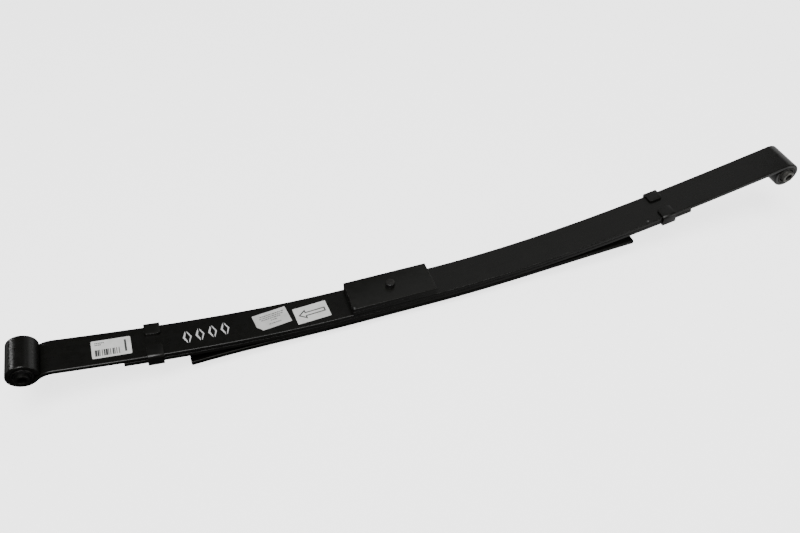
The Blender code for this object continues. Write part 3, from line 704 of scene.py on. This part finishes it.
def rivet(name, node, station, body):
    """Domed rivet under the clip, with its shank in the second leaf."""
    point, up, _ = place(station, 0.0, MAIN)
    top = SECOND_TOP - RIVET_INSET
    under = SECOND_BOTTOM - 2 * GAP - CLIP_T
    dome = under - RIVET_EDGE
    profile = [(0.0, top), (RIVET_R, top), (RIVET_R, under), (RIVET_FLAT_R, under),
               (RIVET_HEAD_R, dome)]
    for i in range(1, 9):
        angle = pi / 2 * i / 9
        profile.append((RIVET_HEAD_R * cos(angle), dome - (RIVET_HEAD - RIVET_EDGE) * sin(angle)))
    profile.append((0.0, under - RIVET_HEAD))
    piece = turned(name, profile, (point.x, 0, point.y), (up.x, 0, up.y), STEEL, 40)
    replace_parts(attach(piece, body), node)


# Bushes

def bush_ring(name, profile, centre, material, body, node):
    piece = turned(name, profile, (centre.x, 0, centre.y), (0, 1, 0), material)
    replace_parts(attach(piece, body), node)


def shell_profile(inner, outer):
    """Outline of the outer shell, chamfered at both ends."""
    end = HALF_W
    mouth = inner + SHELL_BORE_CHAMFER
    return [(mouth, -end), (outer - SHELL_CHAMFER, -end), (outer, SHELL_ENTRY - end),
            (outer, end - SHELL_ENTRY), (outer - SHELL_CHAMFER, end), (mouth, end),
            (inner, end - SHELL_CHAMFER), (inner, SHELL_CHAMFER - end)]


def rubber_profile(outer):
    """Outline of the rubber: a dished face between two raised lips, the same at both ends."""
    rim = HALF_W - RUBBER_INSET
    foot = rim - LIP_HEIGHT
    dish_out = outer - OUTER_LIP[1]
    dish_in = RUBBER_BORE + BORE_LIP[1]
    face = [(outer, rim - RUBBER_EDGE), (outer - OUTER_LIP[0], rim), (dish_out, foot)]
    for i in range(1, 10):
        share = i / 10
        face.append((dish_out + (dish_in - dish_out) * share,
                     foot - RUBBER_DISH * sin(pi * share) ** 0.7))
    face += [(dish_in, foot), (RUBBER_BORE + BORE_LIP[0], rim), (RUBBER_BORE, rim - RUBBER_EDGE)]
    return face + [(radius, -length) for radius, length in reversed(face)]


def sleeve_profile():
    """Outline of the inner sleeve, which stands proud of the leaf on both sides."""
    end = HALF_W + SLEEVE_PROUD
    return [(SLEEVE_BORE, BORE_CHAMFER - end), (SLEEVE_BORE + BORE_CHAMFER, -end),
            (SLEEVE_R - SLEEVE_CHAMFER, -end), (SLEEVE_R, SLEEVE_CHAMFER - end),
            (SLEEVE_R, end - SLEEVE_CHAMFER), (SLEEVE_R - SLEEVE_CHAMFER, end),
            (SLEEVE_BORE + BORE_CHAMFER, end), (SLEEVE_BORE, end - BORE_CHAMFER)]


def bush(side, centre, steel, rubber, sleeve_steel):
    """Shell and rubber turn with the arm, and the sleeve with its own joint."""
    outer = EYE_BORE - GAP
    inner = outer - SHELL_T
    bush_ring(f"{side}_shell", shell_profile(inner, outer), centre, steel,
              f"{side}_arm", f"{side}_bush_shell")
    bush_ring(f"{side}_rubber", rubber_profile(inner - GAP), centre, rubber,
              f"{side}_arm", f"{side}_bush_rubber")
    bush_ring(f"{side}_sleeve_tube", sleeve_profile(), centre, sleeve_steel,
              f"{side}_sleeve", f"{side}_bush_sleeve")


# Labels, the painted mark, a painted glint and a grey spot

def on_leaf(label, u, v, height):
    """Point on the main leaf for a place on a label; u along it and v across, from its middle."""
    station, offset, turn = label[0], label[1], radians(label[2])
    at = station + u * cos(turn) - v * sin(turn)
    y = offset + u * sin(turn) + v * cos(turn)
    point, _, _ = place(at, height, MAIN)
    return Vector((point.x, y, point.y))


def sheet(name, label, outline, prints, paper, ink):
    """A label cut to its outline that lies on the leaf, with prints just above it."""
    bm = bmesh.new()
    bm.faces.new([bm.verts.new((u, v, GAP)) for u, v in outline])
    reach = max(abs(u) for u, _ in outline)
    for i in range(1, LABEL_CUTS):
        cut_at = -reach + 2 * reach * i / LABEL_CUTS
        bmesh.ops.bisect_plane(bm, geom=bm.verts[:] + bm.edges[:] + bm.faces[:],
                               plane_co=(cut_at, 0, 0), plane_no=(1, 0, 0))
    bmesh.ops.recalc_face_normals(bm, faces=bm.faces)
    grown = bmesh.ops.extrude_face_region(bm, geom=bm.faces[:])
    moved = [item for item in grown["geom"] if isinstance(item, bmesh.types.BMVert)]
    bmesh.ops.translate(bm, verts=moved, vec=(0, 0, LABEL_TOP - GAP))
    for shape in prints:
        face = bm.faces.new([bm.verts.new((u, v, LABEL_TOP + PRINT_LIFT)) for u, v in shape])
        face.material_index = 1
    for vert in bm.verts:
        vert.co = on_leaf(label, vert.co.x, vert.co.y, vert.co.z)
    return bent(finish_object(name, bm, [paper, ink], 40))


def rounded(radius, cut=0.0):
    """Label outline; the corner nearest the camera at the front end may be cut off."""
    half_u, half_v = HALF_LABEL
    points = []
    for quarter, middle in corner_circles(half_u, half_v, radius):
        if quarter == 2 and cut:
            points += [(-half_u, -half_v + cut), (-half_u + cut * 0.8, -half_v)]
            continue
        for i in range(5):
            angle = pi / 2 * (quarter + i / 4)
            points.append((middle.x + radius * cos(angle), middle.y + radius * sin(angle)))
    return points


def bar(u0, u1, v0, v1):
    return [(u0, v0), (u1, v0), (u1, v1), (u0, v1)]


def barcode_label():
    """Plain bars, one upright bar at the right and two short rows of marks above."""
    unit = 0.00092
    spread = 0.0003
    left = -0.0245
    widths = (3, 1, 2, 1, 1, 3, 1, 2, 2, 1, 3, 1, 1, 2, 1, 3, 2, 1, 1, 2, 1, 3, 1, 2)
    prints = []
    for i, width in enumerate(widths):
        if i % 2 == 0:
            prints.append(bar(left, left + width * unit + spread, -0.0138, -0.0012))
        left += width * unit
    prints.append(bar(0.0195, 0.0225, -0.0115, 0.0125))
    mark_width, mark_height, mark_pitch = 0.0017, 0.0020, 0.0024
    first = -0.0240
    for v, length in ((0.0115, 0.013), (0.0078, 0.009)):
        start = first
        while start < first + length:
            prints.append(bar(start, start + mark_width, v, v + mark_height))
            start += mark_pitch
    return sheet("barcode_sticker", BARCODE, rounded(0.0022), prints, PAPER, INK)


def note_label():
    """Lines of dashes of four lengths, in place of small print."""
    rows = ((0.0095, -0.018, 0.022), (0.0055, -0.020, 0.022), (0.0015, -0.018, 0.016),
            (-0.0030, -0.003, 0.005), (-0.0100, -0.008, 0.014))
    dashes = (0.0032, 0.0018, 0.0042, 0.0026)
    dash_height, space = 0.0018, 0.0009
    prints = []
    for v, first, last in rows:
        start = first
        i = 0
        while start < last:
            length = dashes[i % len(dashes)]
            prints.append(bar(start, start + length, v, v + dash_height))
            start += length + space
            i += 1
    return sheet("note_sticker", NOTE, rounded(0.0004, cut=0.010), prints, GREY_PAPER, PALE_INK)


def position_label():
    """An arrow in outline that points at the front eye."""
    arrow = [(-0.024, 0.000), (-0.010, 0.0105), (-0.010, 0.0045), (0.024, 0.0045),
             (0.024, -0.0045), (-0.010, -0.0045), (-0.010, -0.0105)]
    inner = [(-0.0202, 0.000), (-0.0120, 0.0062), (-0.0120, 0.0024), (0.0218, 0.0024),
             (0.0218, -0.0024), (-0.0120, -0.0024), (-0.0120, -0.0062)]
    prints = []
    for i in range(len(arrow)):
        j = (i + 1) % len(arrow)
        prints.append([arrow[i], arrow[j], inner[j], inner[i]])
    return sheet("position_sticker", POSITION, rounded(0.0006), prints, PAPER, INK)


def painted_mark():
    """Four stencilled lozenges, each of a heavy and a light stroke: a plain stock mark."""
    half_gap, half_width, half_height = 0.0012, 0.0072, 0.0130
    first, pitch, slant = -0.0310, 0.0205, 1.7
    bm = bmesh.new()
    for k in range(4):
        middle = first + pitch * k
        for side, weight in ((-1, 0.0036), (1, 0.0025)):
            inner_height = half_height - slant * weight
            stroke = [(half_gap, half_height), (half_width, 0.0), (half_gap, -half_height),
                      (half_gap, -inner_height), (half_width - weight, 0.0),
                      (half_gap, inner_height)]
            corners = [bm.verts.new(on_leaf(LOZENGES, middle + side * u, v, PAINT_LIFT))
                       for u, v in stroke]
            for picked in ((0, 1, 4, 5), (1, 2, 3, 4)):
                bm.faces.new([corners[i] for i in picked])
    return bent(finish_object("painted_mark", bm, [MARK], 40))


def spot_outline(reach):
    """Ragged nine-sided outline."""
    radii = [reach * (1 + 0.3 * sin(2.3 * i)) for i in range(9)]
    return [(r * cos(2 * pi * i / 9), r * sin(2 * pi * i / 9)) for i, r in enumerate(radii)]


def grey_spot(name, points):
    """A small flat grey spot; on the spacer's corner it is a painted glint."""
    bm = bmesh.new()
    bm.faces.new([bm.verts.new(point) for point in points])
    return finish_object(name, bm, [SPOT_GREY], 40)


def grey_spots():
    """A painted glint on the spacer's near corner, and a grey spot near the edge of the rear half.
    """
    top = SPACER_TOP - HEAD_TOP + PAINT_LIFT
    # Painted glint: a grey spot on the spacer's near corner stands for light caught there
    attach(grey_spot("painted_glint_spacer_corner", [
        (CORNER_GLINT[0] + u, CORNER_GLINT[1] + v, top) for u, v in spot_outline(0.0014)
    ]), "seat_pack")
    bent(grey_spot("grey_spot_rear_edge", [
        on_leaf(REAR_SPOT, u, v, PAINT_LIFT) for u, v in spot_outline(0.0017)
    ]))


# Floor, light and camera

def floor_material():
    """Pale to the camera. To the part it is dark, and glows towards the rear eye and behind."""
    material, tree, shader = shader_of("floor_mat")
    camera_ray = tree.nodes.new("ShaderNodeLightPath").outputs["Is Camera Ray"]
    tone = remap(tree, noise(tree, 2.5, 2), 0.3, 0.7, 0.86, 0.90)
    seen = combined(tree, "MULTIPLY", tone, remap(tree, camera_ray, 0, 1, 0.03, 1.0))
    combine = tree.nodes.new("ShaderNodeCombineColor")
    for key in ("Red", "Green", "Blue"):
        tree.links.new(seen, combine.inputs[key])
    tree.links.new(combine.outputs["Color"], shader.inputs["Base Color"])
    shader.inputs["Roughness"].default_value = 0.9
    shader.inputs["Specular IOR Level"].default_value = 0.1
    split = tree.nodes.new("ShaderNodeSeparateXYZ")
    tree.links.new(coords(tree), split.inputs["Vector"])
    rearward = remap(tree, split.outputs["X"], -0.5, 0.9, 0.0, 1.0)
    growing = remap(tree, combined(tree, "MULTIPLY", rearward, rearward), 0.0, 1.0, 0.025, 0.90)
    behind = remap(tree, split.outputs["Y"], 0.15, 0.8, 0.0, 0.45)
    glow = tree.nodes.new("ShaderNodeMix")
    tree.links.new(camera_ray, glow.inputs["Factor"])
    tree.links.new(combined(tree, "ADD", growing, behind), glow.inputs["A"])
    glow.inputs["B"].default_value = FLOOR_GLOW
    shader.inputs["Emission Color"].default_value = (1.0, 1.0, 1.0, 1.0)
    tree.links.new(glow.outputs["Result"], shader.inputs["Emission Strength"])
    return material


def floor():
    mesh = bpy.data.meshes.new("floor")
    z = cad_box[0].z - FLOOR_DROP
    corners = bar(-FLOOR_REACH, FLOOR_REACH, -FLOOR_REACH, FLOOR_REACH)
    mesh.from_pydata([(x, y, z) for x, y in corners], [], [(0, 1, 2, 3)])
    mesh.materials.append(floor_material())
    obj = bpy.data.objects.new("floor", mesh)
    bpy.context.scene.collection.objects.link(obj)


def area_light(name, place_at, aim, size, power):
    data = bpy.data.lights.new(name, "AREA")
    data.shape = "RECTANGLE"
    data.size, data.size_y = size
    data.energy = power
    obj = bpy.data.objects.new(name, data)
    obj.location = place_at
    toward = Vector(aim) - Vector(place_at)
    obj.rotation_mode = "QUATERNION"
    obj.rotation_quaternion = toward.to_track_quat("-Z", "Y")
    bpy.context.scene.collection.objects.link(obj)


def studio():
    """A pale backdrop that lights the part only weakly, and the area lights."""
    world = bpy.data.worlds.new("studio")
    world.use_nodes = True
    tree = world.node_tree
    background = tree.nodes["Background"]
    background.inputs["Color"].default_value = (1.0, 1.0, 1.0, 1.0)
    camera_ray = tree.nodes.new("ShaderNodeLightPath").outputs["Is Camera Ray"]
    tree.links.new(remap(tree, camera_ray, 0, 1, SKY_LIGHT, SKY_SEEN),
                   background.inputs["Strength"])
    bpy.context.scene.world = world
    for light in LIGHTS:
        area_light(*light)


def camera():
    """The photograph's viewpoint, as fitted to it."""
    azimuth, tilt, roll = CAMERA_AZIMUTH, CAMERA_TILT, CAMERA_ROLL
    forward = Vector((cos(tilt) * sin(azimuth), cos(tilt) * cos(azimuth), -sin(tilt)))
    right = Vector((cos(azimuth), -sin(azimuth), 0))
    down = forward.cross(right)
    across = right * cos(roll) + down * sin(roll)
    below = down * cos(roll) - right * sin(roll)
    data = bpy.data.cameras.new("camera")
    data.lens = CAMERA_LENS
    data.sensor_width = CAMERA_SENSOR
    data.clip_start = 0.05
    data.clip_end = 60
    obj = bpy.data.objects.new("camera", data)
    turn = Matrix((across, -below, -forward)).transposed()
    obj.matrix_world = Matrix.Translation(CAMERA_PLACE) @ turn.to_4x4()
    bpy.context.scene.collection.objects.link(obj)
    bpy.context.scene.camera = obj


front_centre, rear_centre = leaves()
plate("spacer_lower", "spacer_plate_lower", LOWER_PLATE)
plate("spacer_upper", "spacer_plate_upper", UPPER_PLATE)
bolt()
nut()
clip("front_clip_strip", "front_clip", FRONT_CLIP, "front_arm")
clip("rear_clip_strip", "rear_clip", REAR_CLIP, "rear_arm")
rivet("front_rivet", "front_clip_rivet", FRONT_CLIP, "front_arm")
rivet("rear_rivet", "rear_clip_rivet", REAR_CLIP, "rear_arm")
bush("front", front_centre, STEEL, RUBBER, SLEEVE)
# The rear bush takes the lighter copies: painted light on the rear eye's shell, rubber and sleeve
bush("rear", rear_centre, SHELL_PAINTED_LIGHT, RUBBER_PAINTED_LIGHT, SLEEVE_PAINTED_LIGHT)
grey_spots()
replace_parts(barcode_label(), "barcode_label")
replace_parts(note_label(), "note_label")
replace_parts(position_label(), "position_label")
painted_mark()
floor()
studio()
camera()
